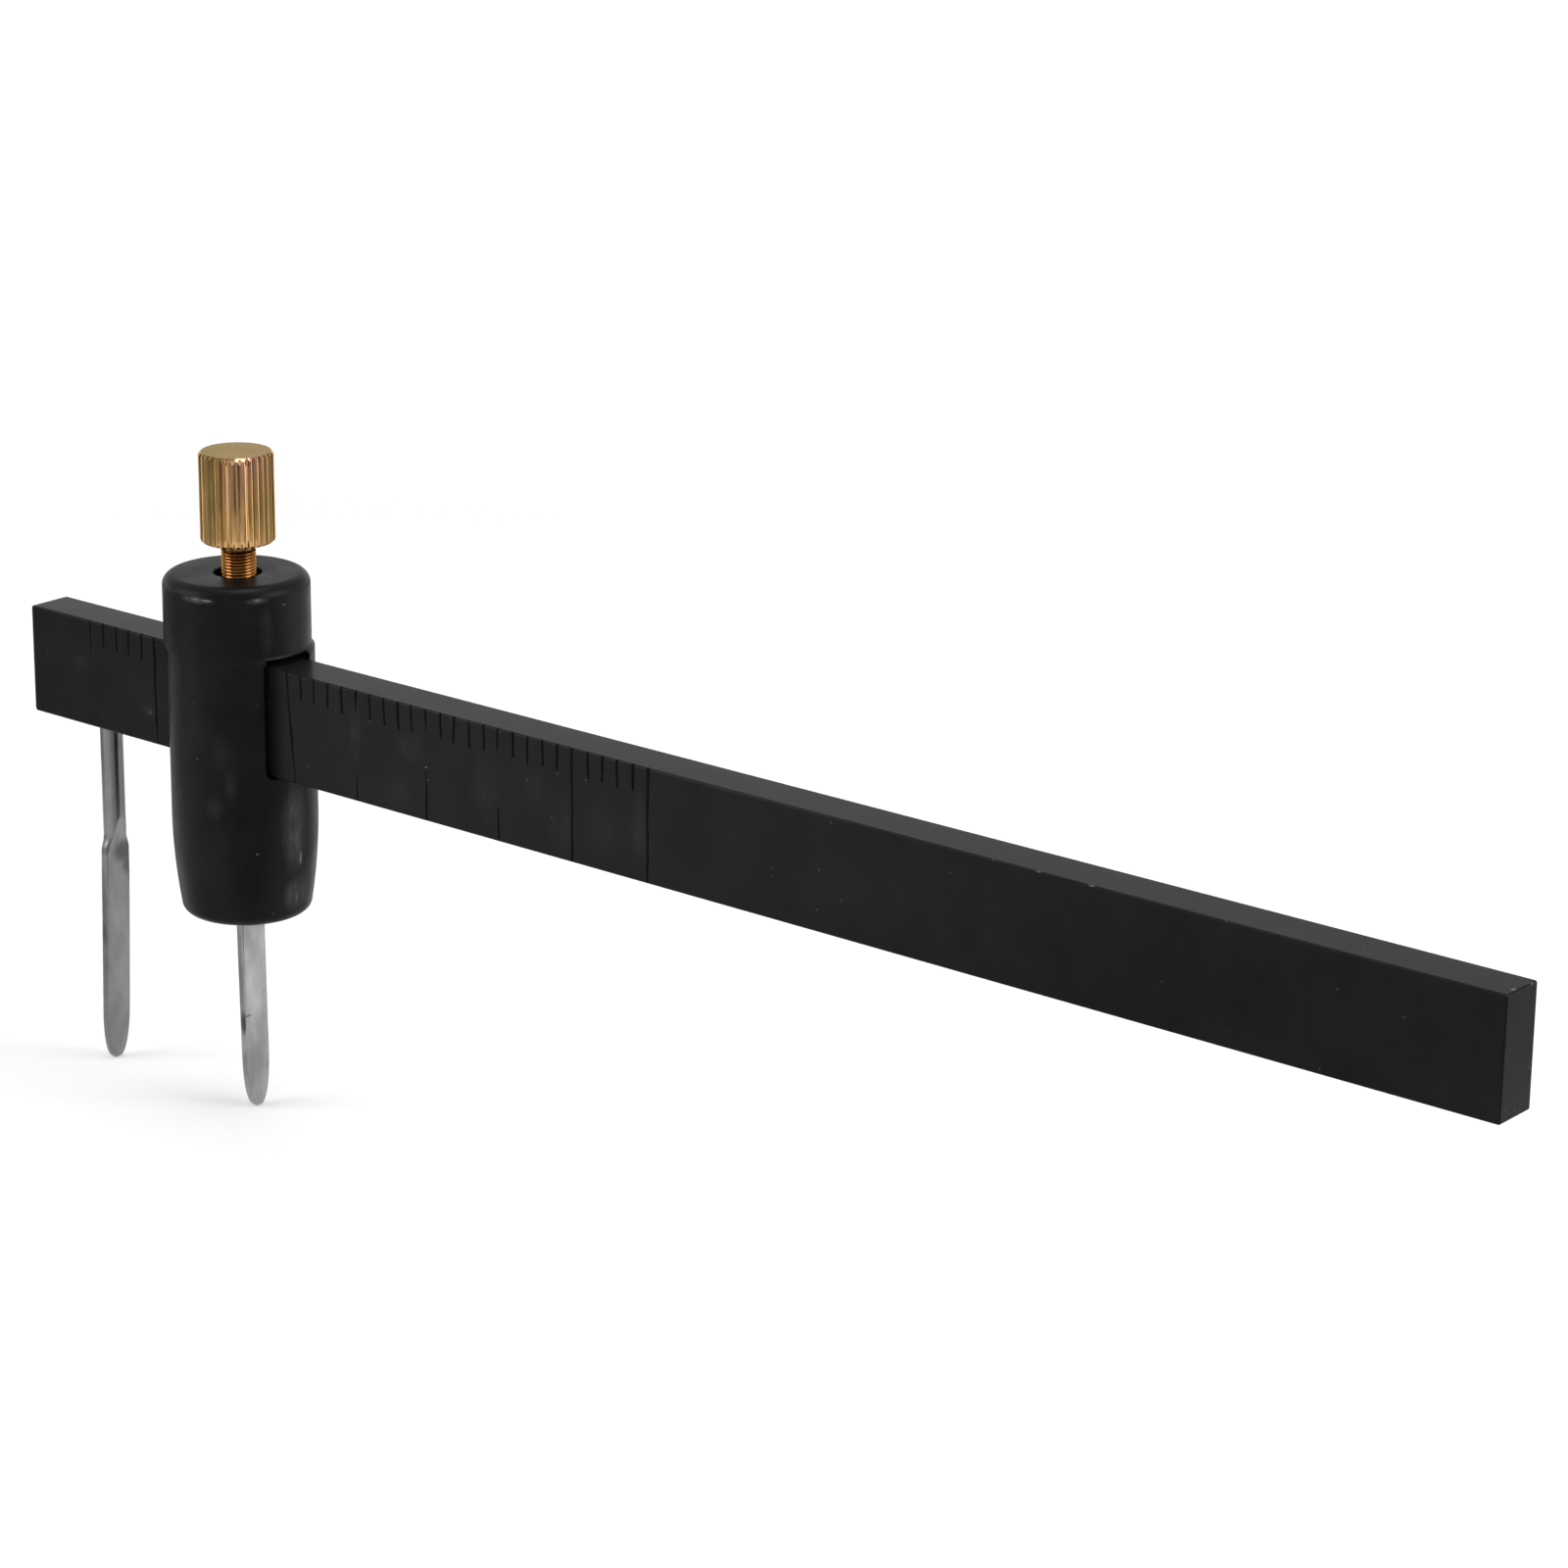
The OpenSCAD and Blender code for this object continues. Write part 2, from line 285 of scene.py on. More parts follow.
# Painted reflections for the knob: a band on the table, seen only in gloss, at these distances from it;
# how bright it is from one angle to the next, as shares of the peak, going once around from the left
ring = {"middle": (30.4, 0, -45.4), "bounds": (226, 240, 520, 640), "peak": 2, "stops": (
    (0, 0.16), (0.122, 0.16), (0.139, 0.75), (0.172, 0.75), (0.189, 0.16), (0.219, 0.16), (0.231, 0.03),
    (0.281, 0.03), (0.3, 0.15), (0.444, 0.15), (0.464, 0.03), (0.517, 0.03), (0.533, 0.34), (0.589, 0.34),
    (0.6, 0.9), (0.644, 0.9), (0.665, 0.24), (0.917, 0.2), (1, 0.16))}


def rayKinds(tree):
    # 1 for camera, glossy and transmission rays, 0 for the diffuse rays that light the object
    seen = addNode(tree, "LightPath", out="Is Camera Ray")
    rays = seen.node.outputs
    for kind in ("Is Glossy Ray", "Is Transmission Ray"):
        seen = addNode(tree, "Math", {"operation": "MAXIMUM"}, in_0=seen, in_1=rays[kind])
    return seen


world = bpy.data.worlds.new("lightTent")
bpy.context.scene.world = world
world.use_nodes = True
tree = world.node_tree
tree.nodes.clear()
way = addNode(tree, "TexCoord", out="Generated")
towards = addNode(tree, "VectorMath", {"operation": "DOT_PRODUCT"}, "Value", in_0=way,
                  in_1=studio["airSide"])
sideways = addNode(tree, "MapRange", {"interpolation_type": "SMOOTHSTEP"}, Value=towards,
                   From_Min=studio["airFrom"], From_Max=studio["airTo"], To_Min=1.0,
                   To_Max=studio["airGloss"])
rise = addNode(tree, "SeparateXYZ", out="Z", Vector=way)
upwards = addNode(tree, "MapRange", {"interpolation_type": "SMOOTHSTEP"}, Value=rise,
                  From_Min=studio["roofFrom"], From_Max=studio["roofTo"], To_Min=1.0,
                  To_Max=studio["roofGloss"])
gloss = addNode(tree, "Math", {"operation": "MULTIPLY"}, in_0=sideways, in_1=upwards)
plain = addNode(tree, "MapRange", Value=rayKinds(tree), To_Min=studio["tentGlow"], To_Max=1.0)
isGloss = addNode(tree, "LightPath", out="Is Glossy Ray")
strength = addNode(tree, "Mix", Factor=isGloss, in_2=plain, in_3=gloss)
addNode(tree, "OutputWorld", Surface=addNode(tree, "Background", Color=(1, 1, 1, 1), Strength=strength))

bpy.ops.object.select_all(action="DESELECT")
bpy.ops.mesh.primitive_plane_add(size=studio["floorWide"] * mm, location=point(0, 0, studio["floor"]))
table = settle(active(), "tableTop")
paper, tree, shader, where = startMaterial("white table paper")
tree.nodes.remove(shader)
offset = addNode(tree, "VectorMath", {"operation": "SUBTRACT"}, in_0=where, in_1=point(*studio["middle"]))
away = addNode(tree, "VectorMath", {"operation": "LENGTH"}, "Value", in_0=offset)
glow = addNode(tree, "MapRange", Value=away, From_Min=studio["glowFrom"] * mm,
               From_Max=studio["glowTo"] * mm, To_Min=studio["nearGlow"], To_Max=studio["farGlow"])
glow = addNode(tree, "Math", {"operation": "MULTIPLY"}, in_0=glow, in_1=rayKinds(tree))
lit = addNode(tree, "BsdfDiffuse", Color=colour(studio["floorShade"]))
glowing = addNode(tree, "Emission", Color=(1, 1, 1, 1), Strength=glow)
seen = addNode(tree, "AddShader", in_0=lit, in_1=glowing)
ahead = addNode(tree, "VectorMath", {"operation": "NORMALIZE"}, in_0=offset)
ahead = addNode(tree, "VectorMath", {"operation": "DOT_PRODUCT"}, "Value", in_0=ahead,
                in_1=studio["tableSide"])
ahead = addNode(tree, "MapRange", {"interpolation_type": "SMOOTHSTEP"}, Value=ahead,
                From_Min=studio["tableFrom"], From_Max=studio["tableTo"], To_Min=0.0,
                To_Max=1 - studio["tableGloss"])
dark = addNode(tree, "Math", {"operation": "MULTIPLY"}, in_0=ahead,
               in_1=inBand(tree, away, studio["reach"]))
dark = addNode(tree, "Math", {"operation": "MAXIMUM"}, in_0=dark,
               in_1=nearPlaces(tree, where, glossDarkPatches, inner=0.5))
gloss = addNode(tree, "Math", {"operation": "SUBTRACT"}, in_0=1.0, in_1=dark)
gloss = addNode(tree, "Math", {"operation": "ADD"}, in_0=gloss,
                in_1=nearPlaces(tree, where, glossBrightPatches, inner=0.4))

# The ring's brightness by the way around it, last, so that it covers the rest within its bounds
offset = addNode(tree, "VectorMath", {"operation": "SUBTRACT"}, in_0=where, in_1=point(*ring["middle"]))
away = addNode(tree, "VectorMath", {"operation": "LENGTH"}, "Value", in_0=offset)
flatWay = addNode(tree, "SeparateXYZ", out="Y", Vector=offset)
turned = addNode(tree, "Math", {"operation": "ARCTAN2"}, in_0=flatWay, in_1=flatWay.node.outputs["X"])
turned = addNode(tree, "MapRange", Value=turned, From_Min=-math.pi, From_Max=math.pi)
around = addNode(tree, "ValToRGB", {"stops": ring["stops"]}, Fac=turned)
around = addNode(tree, "Math", {"operation": "MULTIPLY"}, in_0=around, in_1=ring["peak"])
gloss = addNode(tree, "Mix", Factor=inBand(tree, away, ring["bounds"]), in_2=gloss, in_3=around)
mirrored = addNode(tree, "Emission", Color=(1, 1, 1, 1), Strength=gloss)
isGloss = addNode(tree, "LightPath", out="Is Glossy Ray")
both = addNode(tree, "MixShader", in_0=isGloss, in_1=seen, in_2=mirrored)
tree.links.new(both, tree.nodes["Material Output"].inputs["Surface"])
table.data.materials.append(paper)

lamps = {"softboxLeft": {"at": (-320, -480, 300), "wide": 420, "watts": 2.1},
         "softboxRight": {"at": (660, 260, 300), "wide": 420, "watts": 2.1},
         "softboxTop": {"at": (110, 60, 700), "wide": 320, "watts": 1.4}}
# The place on the bar that all lamps face
lampsFace = point(90, 0, 0)
for name, lamp in lamps.items():
    data = bpy.data.lights.new(name, "AREA")
    data.size = lamp["wide"] * mm
    data.energy = lamp["watts"]
    made = bpy.data.objects.new(name, data)
    bpy.context.scene.collection.objects.link(made)
    made.location = point(*lamp["at"])
    made.rotation_euler = (lampsFace - made.location).to_track_quat("-Z", "Y").to_euler()
print("table, light tent and", len(lamps), "lamps made")


# Bar of moulded ABS, with its scale scratched into the front face. "leans" is how far each long
# line strays to the right on its way down.
bar = {"length": 187, "height": 12, "thickness": 5.1, "edge": 0.18, "leftEdge": 0.55, "rightEdge": 0.2,
       "edgeSteps": 3, "endSteps": 4, "zeroAt": 9.7, "divisions": 40, "step": 2, "longEvery": 5,
       "tickLength": 2.8, "lineWidth": 0.36, "lineDepth": 0.28, "clear": 0.08, "sway": 0.1,
       "leans": (0, 0.1, 0, 1.0, 0.1, 0, 0, 0.05, 0), "boreDiameter": 2.5, "boreDepth": 8, "boreSides": 32}
# The scriber's hand: rings along a long line and a tick, how far it starts over the edge, the share of
# its drift that it keeps from ring to ring and the share of the sway that it adds, the line's width at
# the top and its loss further down as shares, and the limits of what chance does to it
scriber = {"longRings": 12, "tickRings": 5, "over": 0.5, "keeps": 0.65, "adds": 0.55,
           "widest": 1.25, "narrows": 0.35, "unevenDepth": (0.9, 1.05), "unevenWidth": (0.9, 1.1),
           "tickShares": ((0.8, 1.05), (0.7, 1)), "tickLeans": (-1, 2), "unevenTick": (-0.2, 0.2)}
# How deep each long line was cut, from the top edge down, as shares of the line's depth. Where a
# share is 0 the scriber had left the bar.
pressure = ((0.8, 0.7, 0.4, 0.24, 0.22, 0.2, 0.24, 0.22), (1, 1, 1, 0.85, 0.7, 0.9, 0.6, 0.5),
            (1, 0.8, 0.5, 0.6, 0.8, 0.7, 0.6, 0.6), (0.9, 0.8, 0.6, 0.9, 1, 0.9, 0.6, 0.4),
            (1, 0.8, 0.1, 0, 0, 0.1, 0.7, 0.9), (1, 0.7, 0.1, 0, 0.6, 0.9, 0.85, 0.9),
            (1, 0.8, 0.2, 0, 0.1, 0.7, 0.8, 0.7), (1, 0.85, 0.8, 0.75, 0.8, 0.9, 0.95, 1),
            (1, 0.95, 0.95, 0.9, 0.85, 0.8, 0.8, 0.75))
# Nicks that handling has left along the edges: place and size, and then the limits of how chance turns
# and stretches their lumps
nicks = ((187, -2.55, 1.6, 0.28), (187, -2.55, 3.1, 0.14), (187, -2.4, 6, 0.2), (186.9, 0.3, 6, 0.16),
         (118, -2.55, 6, 0.16), (121.5, -2.55, 6, 0.12), (111, -2.55, 6, 0.13), (104.6, -2.55, 6, 0.12),
         (52.2, 0.4, 6, 0.13), (66.3, 0.6, 6, 0.13), (137, -2.55, 6, 0.15), (143, -2.55, 6, 0.18),
         (151, -2.55, 6, 0.14), (163.5, -2.55, 6, 0.17), (176, 2.55, 6, 0.18), (140, -2.55, -6, 0.15),
         (72, -2.55, -6, 0.18), (0, -2.55, -5.8, 0.2), (96, 2.55, 6, 0.13), (187, 2.5, 4.2, 0.15))
lump = {"turned": (0, 3), "stretched": (0.6, 1.3)}


def addScratch(x, length, shares, lean):
    # One cutter: a four-sided rod with an edge towards the bar, then bent a little ring by ring.
    # It is widest at the top, where the scriber came down on the bar's edge.
    rings = scriber["longRings"] if len(shares) > 2 else scriber["tickRings"]
    top = bar["height"] / 2 + scriber["over"]
    bottom = bar["height"] / 2 - length
    bpy.ops.object.select_all(action="DESELECT")
    bpy.ops.mesh.primitive_cylinder_add(
        vertices=4, radius=1, depth=(top - bottom) * mm,
        location=point(x, -bar["thickness"] / 2, (top + bottom) / 2),
        scale=(bar["lineWidth"] / 2 * mm, bar["lineDepth"] * mm, 1))
    scratch = settle(active(), "scratch")
    editStart(scratch)
    for i in range(1, rings):
        bpy.ops.mesh.select_all(action="SELECT")
        bpy.ops.mesh.bisect(plane_co=point(0, 0, bottom + (top - bottom) * i / rings), plane_no=(0, 0, 1))
    levels = sorted({round(v.co.z / mm, 4) for v in bmesh.from_edit_mesh(scratch.data).verts}, reverse=True)
    drift = 0
    for level in levels:
        down = (top - level) / (top - bottom)
        drift = scriber["keeps"] * drift + chance.uniform(-1, 1) * bar["sway"] * scriber["adds"]
        at = down * (len(shares) - 1)
        before = shares[int(at)]
        share = before + (shares[min(int(at) + 1, len(shares) - 1)] - before) * (at - int(at))
        share *= chance.uniform(*scriber["unevenDepth"])
        wide = (scriber["widest"] - scriber["narrows"] * down) * chance.uniform(*scriber["unevenWidth"])
        pick(lambda v: abs(v.co.z / mm - level) < 0.001)
        stretch(wide, 1, 1, point(x, 0, 0))
        shift(drift + lean * down, -(1 - share) * (bar["lineDepth"] + bar["clear"]), 0)
    editEnd()
    return scratch


def addNick(x, y, z, size):
    # One cutter: a lump of 20 facets, turned and stretched by chance
    turned = [chance.uniform(*lump["turned"]) for i in range(3)]
    stretched = [chance.uniform(*lump["stretched"]) for i in range(3)]
    bpy.ops.object.select_all(action="DESELECT")
    bpy.ops.mesh.primitive_ico_sphere_add(
        subdivisions=1, radius=size * mm, location=point(x, y, z), rotation=turned, scale=stretched)
    return settle(active(), "nick")


beamBar = addBlock("beamBar", (0, -bar["thickness"] / 2, -bar["height"] / 2),
                   (bar["length"], bar["thickness"] / 2, bar["height"] / 2))
editStart(beamBar, "EDGE")
for end, size in ((0, bar["leftEdge"]), (bar["length"], bar["rightEdge"])):
    pick(lambda e: all(abs(v.co.x - end * mm) < 0.01 * mm for v in e.verts), "edges")
    bpy.ops.mesh.bevel(offset=size * mm, segments=bar["endSteps"], clamp_overlap=False)
# The long edges are the only sharp ones left
pick(lambda e: e.calc_face_angle(0) > 0.6, "edges")
bpy.ops.mesh.bevel(offset=bar["edge"] * mm, segments=bar["edgeSteps"], clamp_overlap=False)
editEnd()
marks = []
for i in range(bar["divisions"] + 1):
    if i % bar["longEvery"] == 0:
        shares = pressure[i // bar["longEvery"]]
        lean = bar["leans"][i // bar["longEvery"]]
        reach = bar["height"] + scriber["over"]
    else:
        shares = [chance.uniform(*limits) for limits in scriber["tickShares"]]
        lean = chance.uniform(*scriber["tickLeans"]) * bar["sway"]
        reach = bar["tickLength"] + chance.uniform(*scriber["unevenTick"])
    marks.append(addScratch(bar["zeroAt"] + i * bar["step"], reach, shares, lean))
marks += [addNick(*nick) for nick in nicks]
bpy.ops.object.select_all(action="DESELECT")
for mark in marks:
    mark.select_set(True)
bpy.context.view_layer.objects.active = marks[0]
bpy.ops.object.join()
combine(beamBar, marks[0], "DIFFERENCE")
combine(beamBar, addRound("bore", bar["zeroAt"], 0, -bar["height"] / 2 - past,
                          -bar["height"] / 2 + bar["boreDepth"], bar["boreDiameter"],
                          bar["boreSides"]), "DIFFERENCE")
smooth(beamBar, angle=35)
print("bar modelled")


# Post of moulded nylon: turned outline, slot along the bar, seat for the screw. The rings below and
# above the parting line keep the faces of its side short.
post = {"x": 30.4, "diameter": 15.6, "top": 14.7, "topRound": 1.3, "topSteps": 10, "foot": -22.7,
        "footDiameter": 14, "footRound": 1.2, "footSteps": 8, "taper": 10, "taperSteps": 8,
        "ringsBelow": (-8, -4, 0, 4), "ringsAbove": (9, 11), "sides": 160,
        "partingAt": 6.8, "partingHigh": 0.4, "mouldSlip": 0.45,
        "slotWide": 6.3, "slotAside": -0.25, "slotReach": 9, "slotTop": 6.9, "slotFoot": -6.1,
        "slotCorner": 0.8, "slotSteps": 6, "softEdge": 0.2,
        "seatDiameter": 5.1, "seatFoot": 8.5, "seatSlip": 0.2, "seatSides": 64, "wayDiameter": 4.2}

outline = [(0, post["foot"])]
outline += arcPoints(post["footDiameter"] / 2 - post["footRound"], post["foot"] + post["footRound"],
                     post["footRound"], -90, 0, post["footSteps"])
taperTop = post["foot"] + post["footRound"] + post["taper"]
for i in range(1, post["taperSteps"] + 1):
    left = 1 - i / post["taperSteps"]
    narrow = (post["diameter"] - post["footDiameter"]) / 2 * left * left
    outline.append((post["diameter"] / 2 - narrow, taperTop - post["taper"] * left))
parting = (post["partingAt"] - post["partingHigh"] / 2, post["partingAt"] + post["partingHigh"] / 2)
outline += [(post["diameter"] / 2, z) for z in post["ringsBelow"] + parting + post["ringsAbove"]]
outline += arcPoints(post["diameter"] / 2 - post["topRound"], post["top"] - post["topRound"],
                     post["topRound"], 0, 90, post["topSteps"])
outline.append((0, post["top"]))
sliderPost = addTurned("sliderPost", post["x"], outline, post["sides"])

# The two halves of the mould sat a little out of line, which left a step at their parting line
editStart(sliderPost)
pick(lambda v: v.co.z > post["partingAt"] * mm)
shift(-post["mouldSlip"], 0, 0)
editEnd()

slotCutter = addBlock(
    "slotCutter",
    (post["x"] - post["slotReach"], post["slotAside"] - post["slotWide"] / 2, post["slotFoot"]),
    (post["x"] + post["slotReach"], post["slotAside"] + post["slotWide"] / 2, post["slotTop"]))
editStart(slotCutter, "EDGE")
pick(lambda e: abs(e.verts[0].co.x - e.verts[1].co.x) > mm, "edges")
bpy.ops.mesh.bevel(offset=post["slotCorner"] * mm, segments=post["slotSteps"])
editEnd()
combine(sliderPost, slotCutter, "DIFFERENCE")
combine(sliderPost, addRound("seat", post["x"] - post["seatSlip"], 0, post["seatFoot"], post["top"] + past,
                             post["seatDiameter"], post["seatSides"]), "DIFFERENCE")
combine(sliderPost, addRound("way", post["x"], 0, post["slotTop"] - past, post["seatFoot"] + past,
                             post["wayDiameter"], post["seatSides"]), "DIFFERENCE")
roundEdges(sliderPost, post["softEdge"], steps=2, angle=40)
smooth(sliderPost, angle=35)
print("post modelled")


# Spade points: drawn steel rod, pressed flat into a blade with a long rounded tip. "quarter" is how
# many steps a quarter of the section takes along the flat face, around the corner and on the edge.
spade = {"shank": 2.5, "scarf": 4, "shoulder": 1.7, "shoulderAt": -20.6, "blade": 24.8, "wide": 3.45,
         "thick": 1.1, "tipThick": 0.9, "tip": 6.4, "blunt": 2.35, "tipRound": 0.3, "tipLeast": 0.35,
         "tipEnd": 0.985, "edge": 0.26, "edgeMost": 0.8, "quarter": (4, 6, 2), "hollow": 0.1,
         "hollowLength": 3, "bendFrom": -18.5, "bendCurve": 1.2, "sliderAside": 0.3}
# Rings along each stretch of the blade
spadeRings = {"scarf": 12, "hollow": 4, "straight": 5, "tip": 12}


def halfWide(above):
    # Half the blade's width at a height above its tip, which is a rounded point
    if above >= spade["tip"]:
        return spade["wide"] / 2
    return spade["wide"] / 2 * (1 - (1 - above / spade["tip"]) ** spade["blunt"]) ** (1 / spade["blunt"])


def halfThick(down):
    # The blade thins towards its tip, and the press left it a little hollow under the shoulder
    thin = 1 - (1 - spade["tipThick"] / spade["thick"]) * down / spade["blade"]
    dip = spade["hollow"] * max(0, 1 - down / spade["hollowLength"])
    toTip = min(1, (spade["blade"] - down) / spade["tipRound"])
    return spade["thick"] / 2 * (thin - dip) * max(spade["tipLeast"], math.sqrt(1 - (1 - toTip) ** 2))


def bladeCorner(step, half, wide):
    # The place of one step on a quarter of a blade's section
    onFlat, onCorner, onEdge = spade["quarter"]
    edge = min(spade["edge"], spade["edgeMost"] * half, spade["edgeMost"] * wide)
    if step <= onFlat:
        return half, (wide - edge) * step / onFlat
    if step <= onFlat + onCorner:
        turned = math.radians(90 * (step - onFlat) / onCorner)
        return half - edge + edge * math.cos(turned), wide - edge + edge * math.sin(turned)
    return (half - edge) * (sum(spade["quarter"]) - step) / onEdge, wide


def evenShares(count):
    return [i / count for i in range(1, count + 1)]


def addSpade(name, x, shankTop, bend):
    # A rod drawn down ring by ring; then each ring is pressed to its section
    shoulder = spade["shoulderAt"]
    radius = spade["shank"] / 2
    quarter = sum(spade["quarter"])
    straight = spade["blade"] - spade["tip"]
    levels = [spade["scarf"] * (1 - share) for share in evenShares(spadeRings["scarf"])]
    levels += [-spade["hollowLength"] * share for share in evenShares(spadeRings["hollow"])]
    levels += [-spade["hollowLength"] - (straight - spade["hollowLength"]) * share
               for share in evenShares(spadeRings["straight"])]
    levels += [-straight - spade["tip"] * math.sin(math.radians(90 * share * spade["tipEnd"]))
               for share in evenShares(spadeRings["tip"])]
    made = addRound(name, x, 0, shoulder + spade["scarf"], shankTop, spade["shank"], 4 * quarter)
    # The rod's lower end is the only face that looks down
    editStart(made, "FACE")
    pick(lambda f: f.normal.z < -0.9, "faces")
    for before, level in zip([spade["scarf"]] + levels, levels):
        extrudeUp(level - before)
    for v in bmesh.from_edit_mesh(made.data).verts:
        rise = v.co.z / mm - shoulder
        # The shank stays round
        if rise > spade["scarf"] - 0.01:
            continue
        turned = math.atan2(abs(v.co.y), abs(v.co.x - x * mm))
        half = halfThick(max(0, -rise))
        flat = half + (radius - half) * max(0, rise) / spade["scarf"]
        widen = min(1, max(0, 1 - rise / spade["shoulder"]))
        widen = widen * widen * (3 - 2 * widen)
        wide = halfWide(spade["blade"] + rise)
        pressed = bladeCorner(round(math.degrees(turned) * quarter / 90), half, wide)
        across = min(flat, radius * math.cos(turned)) * (1 - widen) + pressed[0] * widen
        along = radius * math.sin(turned) * (1 - widen) + pressed[1] * widen
        # Use has bent it a little, more and more towards the tip
        sunk = (spade["bendFrom"] - v.co.z / mm) / (spade["bendFrom"] - studio["floor"])
        bent = bend * max(0, sunk) ** spade["bendCurve"]
        v.co.x = (x + bent + math.copysign(across, v.co.x - x * mm)) * mm
        v.co.y = math.copysign(along, v.co.y) * mm
    bmesh.update_edit_mesh(made.data)
    editEnd()
    smooth(made, angle=35)
    return made


fixedBlade = addSpade("fixedBlade", bar["zeroAt"], shankTop=2, bend=-1.0)
sliderBlade = addSpade("sliderBlade", post["x"] + spade["sliderAside"], shankTop=-11.6, bend=0.4)
print("spade points modelled")


# Knob: brass rod, straight knurl, chamfered at both ends. Fingers have worn the knurl around the
# angle "wornAt", between its ends more than at them.
knob = {"diameter": 7.9, "foot": 18.1, "top": 27.8, "ridges": 32, "depth": 0.4, "uneven": (0.8, 1.1),
        "topBevel": 0.3, "footBevel": 0.25, "bore": 3.27, "boreDepth": 6.5, "boreSides": 48,
        "wornAt": -50, "wornWide": 0.5, "worn": 0.8, "endsWorn": 0.3, "endLength": 0.9,
        "blankSides": 128, "blankSpare": 0.01}
# How deep the knurl is at eight places from one ridge to the next, as shares of its depth
knurlShape = (0.05, 0, 0.1, 0.45, 0.85, 1, 0.8, 0.35)

knurlSides = knob["ridges"] * len(knurlShape)
between = (knob["foot"] + knob["endLength"], knob["top"] - knob["endLength"])
ends = (knob["foot"], knob["top"])
knobPiece = addRound("knob", post["x"], 0, knob["foot"], knob["top"], knob["diameter"], knurlSides)
editStart(knobPiece)
for z in between:
    bpy.ops.mesh.select_all(action="SELECT")
    bpy.ops.mesh.bisect(plane_co=point(0, 0, z), plane_no=(0, 0, 1))
axis = point(post["x"], 0, 0)
turn = 2 * math.pi / knurlSides
radius = knob["diameter"] / 2
for ridge in range(knob["ridges"]):
    fromWorn = math.remainder(turn * (ridge * len(knurlShape)) - math.radians(knob["wornAt"]), 2 * math.pi)
    uneven = chance.uniform(*knob["uneven"])
    for i, share in enumerate(knurlShape):
        if not share:
            continue
        angle = turn * (ridge * len(knurlShape) + i)
        spot = Vector((math.cos(angle), math.sin(angle)))
        for levels, worn in ((between, knob["worn"]), (ends, knob["endsWorn"])):
            pick(lambda v: (v.co - axis).xy.normalized().dot(spot) > math.cos(turn / 3)
                 and min(abs(v.co.z / mm - level) for level in levels) < 0.1)
            left = uneven * (1 - worn * math.exp(-(fromWorn / knob["wornWide"]) ** 2))
            squeeze = 1 - share * left * knob["depth"] / radius
            stretch(squeeze, squeeze, 1, axis)
editEnd()
wide = radius + knob["blankSpare"]
blank = addTurned("blank", post["x"], [
    (0, knob["foot"]), (radius - knob["footBevel"], knob["foot"]),
    (wide, knob["foot"] + knob["footBevel"] + knob["blankSpare"]),
    (wide, knob["top"] - knob["topBevel"] - knob["blankSpare"]),
    (radius - knob["topBevel"], knob["top"]), (0, knob["top"])], knob["blankSides"])
combine(knobPiece, blank, "INTERSECT")
combine(knobPiece, addRound("knobBore", post["x"], 0, knob["foot"] - past, knob["foot"] + knob["boreDepth"],
                            knob["bore"], knob["boreSides"]), "DIFFERENCE")
smooth(knobPiece, angle=32)
print("knob modelled")


# Stud: a rolled thread that climbs as a real helix, with a plain neck below the knob. "neckStarts" is
# how far under the thread's top the neck has its full width, and "neckEnds" is where it narrows again,
# inside the knob.
stud = {"crest": 3.7, "valley": 3.44, "root": 3.27, "pitch": 0.35, "foot": 9.1, "threadTop": 17.2,
        "top": 24.6, "sides": 48, "pivot": 1.5, "pivotLength": 1.4, "pivotSides": 32,
        "neck": 3.42, "neckCore": 2.6, "neckStarts": 0.1, "neckEnds": (0.2, 0.3), "overlap": 0.5,
        "crestRound": 0.02, "spareTurns": 2}

bpy.ops.object.select_all(action="DESELECT")
bpy.ops.mesh.primitive_plane_add(size=mm, location=(0, 0, 0))
studPiece = settle(active(), "stud")
# One turn of the thread from valley to valley: diameters, and heights as shares of the pitch
half = (stud["crest"] + stud["valley"]) / 2
crown = stud["crest"] - stud["crestRound"]
thread = [(stud["valley"], 0), (half, 0.2), (crown, 0.36), (stud["crest"], 0.48), (crown, 0.6),
          (half, 0.78), (stud["valley"], 1)]
editStart(studPiece)
bpy.ops.mesh.select_all(action="SELECT")
bpy.ops.mesh.merge(type="CENTER")
shift(thread[0][0] / 2, 0, stud["foot"] - stud["pitch"])
for before, after in zip(thread, thread[1:]):
    bpy.ops.mesh.extrude_region_move(TRANSFORM_OT_translate={
        "value": point((after[0] - before[0]) / 2, 0, (after[1] - before[1]) * stud["pitch"])})
editEnd()
turns = math.ceil((stud["threadTop"] - stud["foot"]) / stud["pitch"]) + stud["spareTurns"]
useModifier(studPiece, "SCREW", angle=2 * math.pi, screw_offset=stud["pitch"] * mm, iterations=turns,
            steps=stud["sides"], render_steps=stud["sides"], use_merge_vertices=True,
            merge_threshold=mergeWithin)
editStart(studPiece)
for z, outward in ((stud["foot"], -1), (stud["threadTop"], 1)):
    bpy.ops.mesh.select_all(action="SELECT")
    bpy.ops.mesh.bisect(plane_co=point(0, 0, z), plane_no=(0, 0, outward), clear_outer=True, use_fill=True)
bpy.ops.mesh.select_all(action="SELECT")
bpy.ops.mesh.remove_doubles(threshold=mergeWithin)
bpy.ops.mesh.normals_make_consistent(inside=False)
shift(post["x"], 0, 0)
editEnd()
